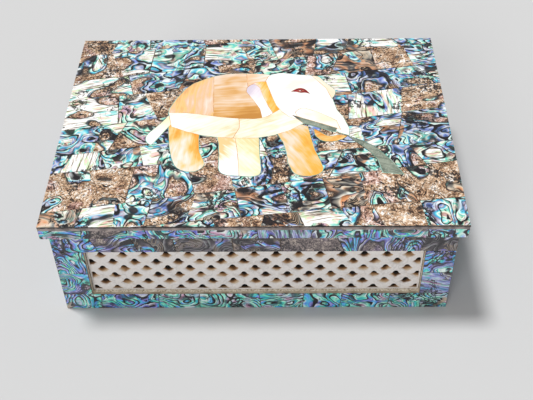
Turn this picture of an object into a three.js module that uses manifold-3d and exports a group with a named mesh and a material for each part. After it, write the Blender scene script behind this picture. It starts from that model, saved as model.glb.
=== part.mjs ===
// Jewelry box of white marble faced with abalone shell. Two pierced marble panels are let into
// the long sides, and the lift-off lid has a shell mosaic with an inlaid elephant, flush with it.
import * as THREE from "three";
import { mergeVertices } from "three/addons/utils/BufferGeometryUtils.js";
import Module from "manifold-3d";

const wasm = await Module();
wasm.setup();

// Driving dimensions in millimetres: the box
const lidLength = 203;
const lidDepth = 152;
const lidThickness = 8.5;
const lidOverhang = 3.25;
const bodyHeight = 56;
const wallThickness = 6;
const floorThickness = 6;
const lipDepth = 3;
const lipClearance = 0.8;

// Shell facings: a thin bed holds the tiles, with narrow joints between them
const sideFacing = 1.5;
const topFacing = 1.3;
const jointWidth = 0.35;
const jointDepth = 0.3;
const fitGap = 0.3;

// Windows in the long sides, and their pierced panels
const windowInset = 14.9;
const windowBottom = 11.3;
const windowTop = 43;
const panelThickness = 4;
const panelSetback = 1.4;
const panelBorder = 0.8;
const panelFoot = 0.8;
const holePitch = 10.86;
const rowPitch = 4.95;
const frontRows = 7;
const firstFrontRow = 1.5;
const backRows = 5;

// Mouth of a piercing, from its middle: a dome above, a toe below and a pointed wing to each side.
// Below 1, the wings' fullness makes their edges hollow. The back's piercings are plain diamonds.
const wingReach = 3.4;
const domeReach = 2.8;
const toeReach = 2.1;
const waist = 1.75;
const wingFullness = 0.9;
const mouthAngles = [0, 30, 70, 110, 150, 180, 225, 315];
const diamondScale = 0.76;

// Tiles: their length along a course, how far a seam may lean, and the seed of each facing's draw
const frontTiles = { tileLength: 25, sillSlant: 1, headSlant: 3, seed: 21 };
const backTiles = { tileLength: 38, sillSlant: 1, headSlant: 3, seed: 58 };
const endTiles = { tileLength: 38, slant: 2.5, courses: 3 };
const endSeeds = { left: 33, right: 47 };
const frontEdgeTiles = { tileLength: 27, slant: 1.5, courses: 1 };
const otherEdgeTiles = { tileLength: 42, slant: 1.5, courses: 1 };
const edgeSeeds = { front: 5, back: 12, left: 17, right: 26 };
const shortestTile = 0.75;
const longestTile = 1.25;

// Mosaic on the lid: courses that rise to the right by an angle, give or take a spread
const mosaicTileDepth = 20.5;
const mosaicTileLength = 39;
const mosaicSlant = 4;
const mosaicRise = Math.tan(THREE.MathUtils.degToRad(8));
const mosaicSpread = Math.tan(THREE.MathUtils.degToRad(3));
const mosaicWander = 2;
const mosaicMargin = 14;
const mosaicStart = 12;
const mosaicSeed = 77;

// Elephant inlay: depth of its pocket, and how far a curved edge may turn or run between two points
const pocketDepth = 0.8;
const turnStep = THREE.MathUtils.degToRad(15);
const longestStep = 9;
const eyeGap = 0.2;

// Worked out from the dimensions above
const bodyLength = lidLength - 2 * lidOverhang;
const bodyDepth = lidDepth - 2 * lidOverhang;
const coreLength = bodyLength - 2 * sideFacing;
const coreDepth = bodyDepth - 2 * sideFacing;
const hollowLength = coreLength - 2 * wallThickness;
const hollowDepth = coreDepth - 2 * wallThickness;
const lidTop = bodyHeight + lidThickness;
const edgeHeight = lidThickness - topFacing;
const windowLength = bodyLength - 2 * windowInset;
const windowHeight = windowTop - windowBottom;
const panelLength = windowLength - 2 * fitGap;
const panelHeight = windowHeight - 2 * fitGap;

// Finishes
const marble = { color: 0xd9d5d0, roughness: 0.45 };
const abalone = { color: 0x4f7f93, roughness: 0.2 };
const pearlWhite = { color: 0xfffbf2, roughness: 0.2 };
const pearlCream = { color: 0xffe9b4, roughness: 0.2 };
const pearlOrange = { color: 0xeeb05c, roughness: 0.2 };
const pearlPeach = { color: 0xf3c795, roughness: 0.2 };
const pearlLavender = { color: 0xf1e4e6, roughness: 0.2 };
const greenStone = { color: 0x8b9484, roughness: 0.35 };
const redStone = { color: 0x9c1f2a, roughness: 0.25 };

const box = new THREE.Group();

// A repeatable sequence of numbers between 0 and 1
function sequence(seed) {
  let state = seed;
  return () => {
    state = (state * 16807) % 2147483647;
    return state / 2147483647;
  };
}

// Geometry to solid and back, so that pieces can be joined and cut
function solidOf(geometry) {
  geometry.deleteAttribute("normal");
  geometry.deleteAttribute("uv");
  const merged = mergeVertices(geometry, 1e-5);
  const vertProperties = new Float32Array(merged.attributes.position.array);
  const triVerts = new Uint32Array(merged.index.array);
  return new wasm.Manifold(new wasm.Mesh({ numProp: 3, vertProperties, triVerts }));
}

function geometryOf(solid) {
  const cut = solid.getMesh();
  const geometry = new THREE.BufferGeometry();
  geometry.setAttribute("position", new THREE.BufferAttribute(cut.vertProperties, 3));
  geometry.setIndex(new THREE.BufferAttribute(cut.triVerts, 1));
  geometry.computeVertexNormals();
  return geometry;
}

function place(name, finish, solid, parent = box) {
  const material = new THREE.MeshStandardMaterial({ ...finish, metalness: 0 });
  const mesh = new THREE.Mesh(geometryOf(solid), material);
  mesh.name = name;
  parent.add(mesh);
  return mesh;
}

// Outlines are lists of [x, y] points
function rectangle(left, bottom, right, top) {
  return [[left, bottom], [right, bottom], [right, top], [left, top]];
}

function signedArea(outline) {
  return THREE.ShapeUtils.area(outline.map(([x, y]) => new THREE.Vector2(x, y)));
}

// Moves every side of an outline outwards, or inwards for a negative amount
function grow(outline, amount) {
  const turn = Math.sign(signedArea(outline));
  return outline.map(([x, y], i) => {
    const [px, py] = outline[(i + outline.length - 1) % outline.length];
    const [nx, ny] = outline[(i + 1) % outline.length];
    const before = new THREE.Vector2(x - px, y - py).normalize();
    const after = new THREE.Vector2(nx - x, ny - y).normalize();
    const mitre = before.clone().add(after).normalize();
    const reach = (turn * amount) / Math.max(mitre.dot(after), 0.5);
    return [x + mitre.y * reach, y - mitre.x * reach];
  });
}

// Points along a smooth edge, close together where it turns and far apart where it runs straight
function pointsAlong(edge) {
  const curve = new THREE.SplineCurve(edge.map(([x, y]) => new THREE.Vector2(x, y)));
  const fine = curve.getSpacedPoints(20 * edge.length);
  const kept = [fine[0]];
  let heading = fine[1].clone().sub(fine[0]).angle();
  let turned = 0;
  for (let i = 1; i < fine.length - 1; i += 1) {
    const next = fine[i + 1].clone().sub(fine[i]).angle();
    const bend = Math.abs(next - heading);
    turned += Math.min(bend, 2 * Math.PI - bend);
    heading = next;
    if (turned > turnStep || fine[i].distanceTo(kept.at(-1)) > longestStep) {
      kept.push(fine[i]);
      turned = 0;
    }
  }
  return kept.map((point) => [point.x, point.y]);
}

// A closed outline from edges that each run smoothly through their own points
function outlineOf(...edges) {
  return edges.flatMap(pointsAlong);
}

function prism(outline, from, to, hole = null) {
  const shape = new THREE.Shape(outline.map(([x, y]) => new THREE.Vector2(x, y)));
  if (hole) shape.holes.push(new THREE.Path(hole.map(([x, y]) => new THREE.Vector2(x, y))));
  const geometry = new THREE.ExtrudeGeometry(shape, { depth: to - from, bevelEnabled: false });
  geometry.translate(0, 0, from);
  return solidOf(geometry);
}

function joined(solids) {
  return solids.reduce((whole, solid) => whole.add(solid));
}

// Four-cornered tiles in courses. A course lies between two lines, each with a level and a slope.
function tilesBetween(lower, upper, left, right, tileLength, slant, random) {
  const seams = [[left, left]];
  let reached = left;
  while (right - reached > 2 * shortestTile * tileLength) {
    reached += tileLength * (shortestTile + (longestTile - shortestTile) * random());
    const lean = slant * (2 * random() - 1);
    seams.push([reached - lean, reached + lean]);
  }
  seams.push([right, right]);
  const below = (x) => [x, lower.level + lower.slope * x];
  const above = (x) => [x, upper.level + upper.slope * x];
  return seams.slice(1).map(([foot, head], i) => {
    const [lastFoot, lastHead] = seams[i];
    return [below(lastFoot), below(foot), above(head), above(lastHead)];
  });
}

// A facing plate: the bed, and its tiles standing just proud of the joints
function facing(outline, thickness, tiles, hole = null) {
  const bed = prism(outline, 0, thickness - jointDepth, hole);
  const face = prism(outline, fitGap, thickness, hole);
  const cut = tiles.map((tile) => prism(grow(tile, -jointWidth / 2), 0, thickness + 1));
  return bed.add(joined(cut).intersect(face));
}

// Marble body: hollow, open at the top, with a window through each long side
const bodyOutline = rectangle(-coreLength / 2, -coreDepth / 2, coreLength / 2, coreDepth / 2);
const hollowOutline = rectangle(-hollowLength / 2, -hollowDepth / 2, hollowLength / 2, hollowDepth / 2);
const windowOutline = rectangle(-windowLength / 2, -coreDepth, windowLength / 2, coreDepth);
place("marble_body", marble, prism(bodyOutline, 0, bodyHeight)
  .subtract(prism(hollowOutline, floorThickness, bodyHeight + 1))
  .subtract(prism(windowOutline, windowBottom, windowTop)));

// Pierced panels, drawn with x along the side and y up from the window's sill
function mouthPoint(degrees) {
  const angle = THREE.MathUtils.degToRad(degrees);
  const upright = degrees < 180 ? domeReach : toeReach;
  const rounded = (power, across) => {
    const x = Math.abs(Math.cos(angle)) / across;
    const y = Math.abs(Math.sin(angle)) / upright;
    return (x ** power + y ** power) ** (-1 / power);
  };
  const reach = Math.max(rounded(2, waist), rounded(wingFullness, wingReach));
  return [reach * Math.cos(angle), reach * Math.sin(angle)];
}

const star = mouthAngles.map(mouthPoint);
const tips = [[wingReach, 0], [0, domeReach], [-wingReach, 0], [0, -toeReach]];
const diamond = tips.map(([x, y]) => [diamondScale * x, diamondScale * y]);

function piercedPanel(hole, rowCount, firstRow) {
  const half = panelLength / 2;
  const plate = prism(rectangle(-half, fitGap, half, fitGap + panelHeight), -panelThickness, 0);
  const holesInLongRow = Math.round((windowLength - 2 * wingReach) / holePitch) + 1;
  const holes = [];
  for (let row = 0; row < rowCount; row += 1) {
    const count = holesInLongRow - (row % 2);
    for (let i = 0; i < count; i += 1) {
      const x = (i - (count - 1) / 2) * holePitch;
      const y = firstRow + row * rowPitch;
      const outline = hole.map(([dx, dy]) => [x + dx, y + dy]);
      holes.push(prism(outline, -panelThickness - 1, 1));
    }
  }
  const reach = half - panelBorder;
  const head = fitGap + panelHeight - panelBorder;
  const field = prism(rectangle(-reach, fitGap + panelFoot, reach, head), -panelThickness - 2, 2);
  return plate.subtract(joined(holes).intersect(field));
}

// Facings of the body's sides, drawn with x along the side and y up
function courseLines(levels) {
  return levels.map((level) => ({ level, slope: 0 }));
}

function framedTiles({ tileLength, sillSlant, headSlant, seed }) {
  const random = sequence(seed);
  const half = bodyLength / 2;
  const post = windowLength / 2;
  const middle = (windowBottom + windowTop) / 2;
  const [foot, sill, mid, head, rim] = courseLines([0, windowBottom, middle, windowTop, bodyHeight]);
  const posts = [[-half, -post], [post, half]].flatMap(([left, right]) => [
    ...tilesBetween(sill, mid, left, right, bodyLength, 0, random),
    ...tilesBetween(mid, head, left, right, bodyLength, 0, random),
  ]);
  return [
    ...tilesBetween(foot, sill, -half, half, tileLength, sillSlant, random),
    ...posts,
    ...tilesBetween(head, rim, -half, half, tileLength, headSlant, random),
  ];
}

function plainTiles(width, height, { tileLength, slant, courses }, seed) {
  const random = sequence(seed);
  const levels = Array.from({ length: courses + 1 }, (_, i) => (i * height) / courses);
  const lines = courseLines(levels);
  return lines.slice(1).flatMap((upper, i) =>
    tilesBetween(lines[i], upper, -width / 2, width / 2, tileLength, slant, random));
}

// A side group stands the drawing up: its x runs along the side, its y up and its z outwards
function side(turn, distance, height) {
  const upright = new THREE.Group();
  upright.rotation.x = Math.PI / 2;
  upright.position.set(0, -distance, height);
  const turned = new THREE.Group();
  turned.rotation.z = turn;
  turned.add(upright);
  box.add(turned);
  return upright;
}

const frameOutline = rectangle(-bodyLength / 2, 0, bodyLength / 2, bodyHeight);
const frameHole = rectangle(-windowLength / 2, windowBottom, windowLength / 2, windowTop);
const firstBackRow = windowHeight / 2 - (rowPitch * (backRows - 1)) / 2;
const longSides = [
  ["front", 0, piercedPanel(star, frontRows, firstFrontRow), frontTiles],
  ["back", Math.PI, piercedPanel(diamond, backRows, firstBackRow), backTiles],
];
for (const [name, turn, panel, tiles] of longSides) {
  const sheet = facing(frameOutline, sideFacing, framedTiles(tiles), frameHole);
  place(`${name}_shell_facing`, abalone, sheet, side(turn, coreDepth / 2, 0));
  place(`${name}_lattice`, marble, panel, side(turn, coreDepth / 2 - panelSetback, windowBottom));
}

const endOutline = rectangle(-coreDepth / 2, 0, coreDepth / 2, bodyHeight);
for (const [name, turn] of [["left", -Math.PI / 2], ["right", Math.PI / 2]]) {
  const tiles = plainTiles(coreDepth, bodyHeight, endTiles, endSeeds[name]);
  const sheet = facing(endOutline, sideFacing, tiles);
  place(`${name}_shell_facing`, abalone, sheet, side(turn, coreLength / 2, 0));
}

// Lid: marble slab with a locating lip, shell strips on its edges and the mosaic on top
const slabLength = lidLength - 2 * sideFacing;
const slabDepth = lidDepth - 2 * sideFacing;
const lipLength = hollowLength - 2 * lipClearance;
const lipWidth = hollowDepth - 2 * lipClearance;
const slabTop = lidTop - topFacing;
place("lid_slab", marble,
  prism(rectangle(-slabLength / 2, -slabDepth / 2, slabLength / 2, slabDepth / 2), bodyHeight, slabTop)
    .add(prism(rectangle(-lipLength / 2, -lipWidth / 2, lipLength / 2, lipWidth / 2),
      bodyHeight - lipDepth, bodyHeight + 1)));

const lidEdges = [
  ["front", 0, lidLength, slabDepth / 2, frontEdgeTiles],
  ["back", Math.PI, lidLength, slabDepth / 2, otherEdgeTiles],
  ["left", -Math.PI / 2, slabDepth, slabLength / 2, otherEdgeTiles],
  ["right", Math.PI / 2, slabDepth, slabLength / 2, otherEdgeTiles],
];
for (const [name, turn, width, distance, cut] of lidEdges) {
  const outline = rectangle(-width / 2, 0, width / 2, edgeHeight);
  const tiles = plainTiles(width, edgeHeight, cut, edgeSeeds[name]);
  place(`lid_${name}_edge`, abalone, facing(outline, sideFacing, tiles), side(turn, distance, bodyHeight));
}

// The elephant's pieces, first the ones that the others are cut to fit.
// Positions are on the lid, from its middle: x to the right and y to the back.
const elephant = [
  { name: "eye_pupil", finish: pearlWhite, gap: eyeGap, outline: outlineOf(
    [[22.6, 26.6], [24.4, 27.3], [26.1, 26.4]],
    [[26.1, 26.4], [24.4, 25.8], [22.6, 26.6]]) },
  { name: "eye", finish: redStone, gap: eyeGap, outline: outlineOf(
    [[19.3, 26.0], [22.0, 28.2], [24.6, 28.9], [27.0, 27.6], [29.4, 24.0]],
    [[29.4, 24.0], [27.0, 25.0], [24.4, 24.9], [22.0, 25.8], [19.3, 26.0]]) },
  { name: "trunk_curl", finish: pearlOrange, outline: outlineOf(
    [[30.6, -5.6], [31.4, -11.0], [35.0, -15.2], [40.0, -15.9], [44.8, -14.2], [47.7, -11.6]],
    [[47.7, -11.6], [43.4, -10.8], [39.2, -11.9], [36.2, -10.6], [34.4, -7.4]]) },
  { name: "branch_root", finish: greenStone, outline: outlineOf(
    [[19.6, 5.6], [31.0, 0.2], [42.6, -5.4]],
    [[42.6, -5.4], [41.6, -8.2]],
    [[41.6, -8.2], [30.0, -3.2], [19.8, 2.2]]) },
  { name: "branch_tip", finish: greenStone, outline: outlineOf(
    [[48.0, -11.6], [56.6, -16.2], [65.4, -25.4], [74.0, -40.8]],
    [[74.0, -40.8], [63.8, -39.4]],
    [[63.8, -39.4], [62.0, -29.6], [56.4, -20.6]]) },
  { name: "tusk", finish: pearlCream, outline: outlineOf(
    [[22.2, 5.0], [21.6, 8.4], [25.4, 11.4], [32.0, 8.6], [38.4, 4.2], [42.6, 0.8]],
    [[42.6, 0.8], [44.4, -6.2]],
    [[44.4, -6.2], [32.0, -0.6], [22.2, 5.0]]) },
  { name: "forehead", finish: pearlCream, outline: outlineOf(
    [[31.0, 40.1], [34.8, 38.9], [38.6, 33.0], [42.8, 27.6], [43.0, 23.4], [41.2, 19.8]],
    [[41.2, 19.8], [38.2, 29.4], [31.0, 40.1]]) },
  { name: "head", finish: pearlWhite, outline: outlineOf(
    [[5.4, 35.6], [7.6, 40.4], [14.0, 42.8], [23.0, 41.2], [31.0, 40.1], [34.4, 37.0], [38.6, 30.6],
      [41.6, 19.6], [43.0, 10.8], [46.4, 3.6], [48.8, -4.4], [48.7, -11.0]],
    [[48.7, -11.0], [43.0, -8.0], [41.0, -2.0], [32.0, 2.0], [20.4, 3.0], [13.0, 10.4], [9.4, 20.0],
      [5.4, 35.6]]) },
  { name: "front_belly_band", finish: pearlWhite, outline: outlineOf(
    [[-8.6, 2.9], [-1.0, 2.4], [6.0, 4.4], [14.0, 11.4]],
    [[14.0, 11.4], [25.6, -0.8]],
    [[25.6, -0.8], [17.0, -7.4], [8.0, -11.2], [-1.0, -12.9], [-11.2, -12.7]],
    [[-11.2, -12.7], [-8.2, -4.6], [-8.6, 2.9]]) },
  { name: "rear_belly_band", finish: pearlWhite, outline: outlineOf(
    [[-46.3, 8.2], [-34.0, 7.6], [-21.0, 4.6], [-7.0, 2.7]],
    [[-7.0, 2.7], [-9.0, -12.8]],
    [[-9.0, -12.8], [-20.0, -11.8], [-32.0, -9.0], [-45.6, -2.2]]) },
  { name: "tail", finish: pearlCream, outline: outlineOf(
    [[-45.2, 7.4], [-50.4, -1.8], [-55.6, -9.0], [-56.3, -14.0], [-53.6, -17.6], [-51.4, -14.4],
      [-48.6, -8.8], [-44.6, -1.6]],
    [[-44.6, -1.6], [-45.2, 7.4]]) },
  { name: "shoulder", finish: pearlLavender, outline: outlineOf(
    [[-5.2, 26.0], [-4.6, 30.0], [-1.4, 32.6], [2.0, 29.2], [4.2, 20.4], [7.0, 12.4], [11.0, 3.0]],
    [[11.0, 3.0], [4.0, 2.0]],
    [[4.0, 2.0], [2.4, 11.0], [-1.6, 19.4], [-5.2, 26.0]]) },
  { name: "neck", finish: pearlOrange, outline: outlineOf(
    [[-2.6, 32.0], [1.0, 34.6], [8.0, 35.0]],
    [[8.0, 35.0], [14.0, 8.0]],
    [[14.0, 8.0], [6.0, 4.0], [-2.6, 32.0]]) },
  { name: "withers", finish: pearlPeach, outline: outlineOf(
    [[-5.4, 42.5], [1.0, 42.4], [8.0, 41.0]],
    [[8.0, 41.0], [8.0, 33.0]],
    [[8.0, 33.0], [-4.2, 28.6]],
    [[-4.2, 28.6], [-5.4, 42.5]]) },
  { name: "flank", finish: pearlOrange, outline: outlineOf(
    [[-23.6, 40.2], [-16.6, 42.1], [-5.0, 42.6]],
    [[-5.0, 42.6], [-1.0, 18.0]],
    [[-1.0, 18.0], [7.0, 1.0]],
    [[7.0, 1.0], [-22.0, 1.0]],
    [[-22.0, 1.0], [-23.6, 40.2]]) },
  { name: "rump", finish: pearlPeach, outline: outlineOf(
    [[-44.6, 5.0], [-46.3, 8.8], [-45.0, 15.6], [-38.6, 29.0], [-31.8, 35.8], [-22.0, 40.7]],
    [[-22.0, 40.7], [-21.0, 1.0]],
    [[-21.0, 1.0], [-44.6, 5.0]]) },
  { name: "hind_leg", finish: pearlOrange, outline: outlineOf(
    [[-45.6, 0.0], [-44.4, -14.0], [-41.2, -30.6], [-36.4, -37.0], [-29.2, -37.6], [-25.3, -32.6],
      [-28.6, -22.0], [-29.2, -6.0]],
    [[-29.2, -6.0], [-45.6, 0.0]]) },
  { name: "second_hind_leg", finish: pearlCream, outline: outlineOf(
    [[-20.2, -8.0], [-17.9, -21.5], [-17.7, -36.2], [-14.2, -40.5], [-7.6, -41.3]],
    [[-7.6, -41.3], [-8.8, -25.0], [-10.8, -10.0]],
    [[-10.8, -10.0], [-20.2, -8.0]]) },
  { name: "second_fore_leg", finish: pearlCream, outline: outlineOf(
    [[-12.0, -10.0], [-9.6, -25.0], [-8.6, -41.3]],
    [[-8.6, -41.3], [-1.4, -41.9], [3.2, -38.8], [2.4, -26.0], [1.9, -10.0]],
    [[1.9, -10.0], [-12.0, -10.0]]) },
  { name: "fore_leg", finish: pearlOrange, outline: outlineOf(
    [[11.0, -8.0], [15.6, -19.4], [16.8, -31.0], [20.0, -39.6], [26.4, -41.8], [32.6, -39.8],
      [34.2, -34.8], [30.4, -22.0], [27.6, -4.0]],
    [[27.6, -4.0], [19.0, 0.0]],
    [[19.0, 0.0], [11.0, -8.0]]) },
];

const pocketFloor = lidTop - pocketDepth;
const fitted = elephant.map(({ name, finish, outline }, i) => {
  const earlier = elephant.slice(0, i).map((piece) => {
    const gap = piece.gap ?? fitGap;
    return prism(grow(piece.outline, gap), pocketFloor - 1, lidTop + 1);
  });
  const whole = prism(outline, pocketFloor, lidTop);
  return { name, finish, solid: earlier.reduce((rest, cutter) => rest.subtract(cutter), whole) };
});
fitted.forEach(({ name, finish, solid }) => place(name, finish, solid));

// Mosaic: straight courses, no two of them quite parallel
function mosaicTiles() {
  const random = sequence(mosaicSeed);
  const reach = lidDepth / 2 + mosaicMargin;
  const lines = [];
  for (let level = -reach; level < reach + mosaicTileDepth; level += mosaicTileDepth) {
    const wander = mosaicWander * random();
    lines.push({ level: level + wander, slope: mosaicRise + mosaicSpread * (2 * random() - 1) });
  }
  const half = lidLength / 2 + 1;
  return lines.slice(1).flatMap((upper, i) => {
    const left = -half - mosaicStart * random();
    return tilesBetween(lines[i], upper, left, half, mosaicTileLength, mosaicSlant, random);
  });
}

const lidOutline = rectangle(-lidLength / 2, -lidDepth / 2, lidLength / 2, lidDepth / 2);
const pocketBed = topFacing - pocketDepth;
const pockets = elephant.map(({ outline }) => prism(grow(outline, fitGap), pocketBed, topFacing + 2));
const mosaic = facing(lidOutline, topFacing, mosaicTiles()).subtract(joined(pockets));
place("lid_mosaic", abalone, mosaic).position.z = slabTop;

export default box;
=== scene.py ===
"""Looks of a marble jewelry box: pierced marble lattice, abalone shell tiles and a mother-of-pearl inlay."""
import math
import random

import bmesh
import bpy
from mathutils import Matrix, Vector


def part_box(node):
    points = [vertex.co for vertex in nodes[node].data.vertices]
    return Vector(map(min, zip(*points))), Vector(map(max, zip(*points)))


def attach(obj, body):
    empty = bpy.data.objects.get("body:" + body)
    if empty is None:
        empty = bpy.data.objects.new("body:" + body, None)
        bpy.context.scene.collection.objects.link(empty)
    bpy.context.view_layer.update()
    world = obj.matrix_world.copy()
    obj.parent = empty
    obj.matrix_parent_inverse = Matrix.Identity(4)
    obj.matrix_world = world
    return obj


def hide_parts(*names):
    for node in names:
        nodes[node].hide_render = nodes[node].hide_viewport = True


bl_info = {
    "name": "Marble Jewelry Box",
    "version": (1, 0, 0),
    "blender": (4, 5, 0),
    "location": "View3D > Sidebar > Jewelry Box",
    "description": "Carved, tiled and inlaid surfaces of a marble jewelry box",
    "category": "Object",
}

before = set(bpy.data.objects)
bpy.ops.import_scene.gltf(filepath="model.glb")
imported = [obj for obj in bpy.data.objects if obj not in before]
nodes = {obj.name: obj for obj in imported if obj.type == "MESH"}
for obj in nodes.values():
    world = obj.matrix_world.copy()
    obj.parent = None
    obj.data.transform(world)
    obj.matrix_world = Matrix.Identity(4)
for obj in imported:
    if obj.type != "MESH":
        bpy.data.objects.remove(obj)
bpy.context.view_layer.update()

MM = 0.001
BODY = "root"

# Each facing of shell tiles: its CAD node, and the way that it faces
FACINGS = {
    "lid_mosaic": Vector((0, 0, 1)),
    "front_shell_facing": Vector((0, -1, 0)),
    "back_shell_facing": Vector((0, 1, 0)),
    "left_shell_facing": Vector((-1, 0, 0)),
    "right_shell_facing": Vector((1, 0, 0)),
    "lid_front_edge": Vector((0, -1, 0)),
    "lid_back_edge": Vector((0, 1, 0)),
    "lid_left_edge": Vector((-1, 0, 0)),
    "lid_right_edge": Vector((1, 0, 0)),
}


def linear(hex_colour):
    """Turns an sRGB hex colour into Blender's linear red, green, blue and alpha."""
    channels = [int(hex_colour[i:i + 2], 16) / 255 for i in (1, 3, 5)]
    return [c / 12.92 if c < 0.04045 else ((c + 0.055) / 1.055) ** 2.4 for c in channels] + [1.0]


def add(tree, kind, inputs=None, stops=None, **settings):
    """Adds a node. inputs maps a socket's name or number to a value or to another node's output."""
    node = tree.nodes.new(kind)
    for name, value in settings.items():
        setattr(node, name, value)
    for socket, value in (inputs or {}).items():
        if isinstance(value, bpy.types.NodeSocket):
            tree.links.new(value, node.inputs[socket])
        else:
            node.inputs[socket].default_value = value
    if stops:
        elements = node.color_ramp.elements
        while len(elements) < len(stops):
            elements.new(0.5)
        for element, (position, colour) in zip(elements, sorted(stops)):
            element.position = position
            element.color = linear(colour)
    return node


def new_material(name):
    """A material with an empty tree, and that tree."""
    material = bpy.data.materials.new(name)
    material.use_nodes = True
    material.node_tree.nodes.clear()
    return material, material.node_tree


def finish_material(tree, **inputs):
    """Adds the shader and the output. Underscores in the names of inputs stand for spaces."""
    sockets = {name.replace("_", " "): value for name, value in inputs.items()}
    shader = add(tree, "ShaderNodeBsdfPrincipled", sockets)
    add(tree, "ShaderNodeOutputMaterial", {"Surface": shader.outputs[0]})


def object_millimetres(tree):
    """The place on the object in millimetres, as a vector output."""
    place = add(tree, "ShaderNodeTexCoord").outputs["Object"]
    return add(tree, "ShaderNodeVectorMath", {0: place, "Scale": 1 / MM}, operation="SCALE").outputs[0]


def mixed(tree, factor, first, second, blend_type="MIX"):
    """Mixes two colours by a factor."""
    sockets = {0: factor, 6: first, 7: second}
    return add(tree, "ShaderNodeMix", sockets, data_type="RGBA", blend_type=blend_type).outputs[2]


def eased(tree, value, low, high, to_low=0.0, to_high=1.0):
    """A smooth step from low to high."""
    sockets = {0: value, 1: low, 2: high, 3: to_low, 4: to_high}
    return add(tree, "ShaderNodeMapRange", sockets, interpolation_type="SMOOTHSTEP").outputs[0]


def calc(tree, operation, *values):
    """One step of arithmetic on numbers."""
    return add(tree, "ShaderNodeMath", dict(enumerate(values)), operation=operation).outputs[0]


def noise(tree, place, size, detail=0.0, roughness=0.5, output="Fac"):
    """Noise whose features are about size millimetres across."""
    sockets = {"Vector": place, "Scale": 1 / size, "Detail": detail, "Roughness": roughness}
    return add(tree, "ShaderNodeTexNoise", sockets).outputs[output]


def warped(tree, place, size, amount, detail=0.0):
    """The place pushed about by up to half the amount, in swirls of about size."""
    push = add(tree, "ShaderNodeVectorMath", {0: noise(tree, place, size, detail, output="Color"), 1: (0.5, 0.5, 0.5)},
               operation="SUBTRACT").outputs[0]
    push = add(tree, "ShaderNodeVectorMath", {0: push, "Scale": amount}, operation="SCALE").outputs[0]
    return add(tree, "ShaderNodeVectorMath", {0: place, 1: push}, operation="ADD").outputs[0]


def stretched(tree, place, stretch, turn=0.0):
    """The place, so that a pattern on it is stretched along axes that are turned about Z."""
    return add(tree, "ShaderNodeMapping", {0: place, 2: (0, 0, turn), 3: stretch}, vector_type="TEXTURE").outputs[0]


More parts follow.
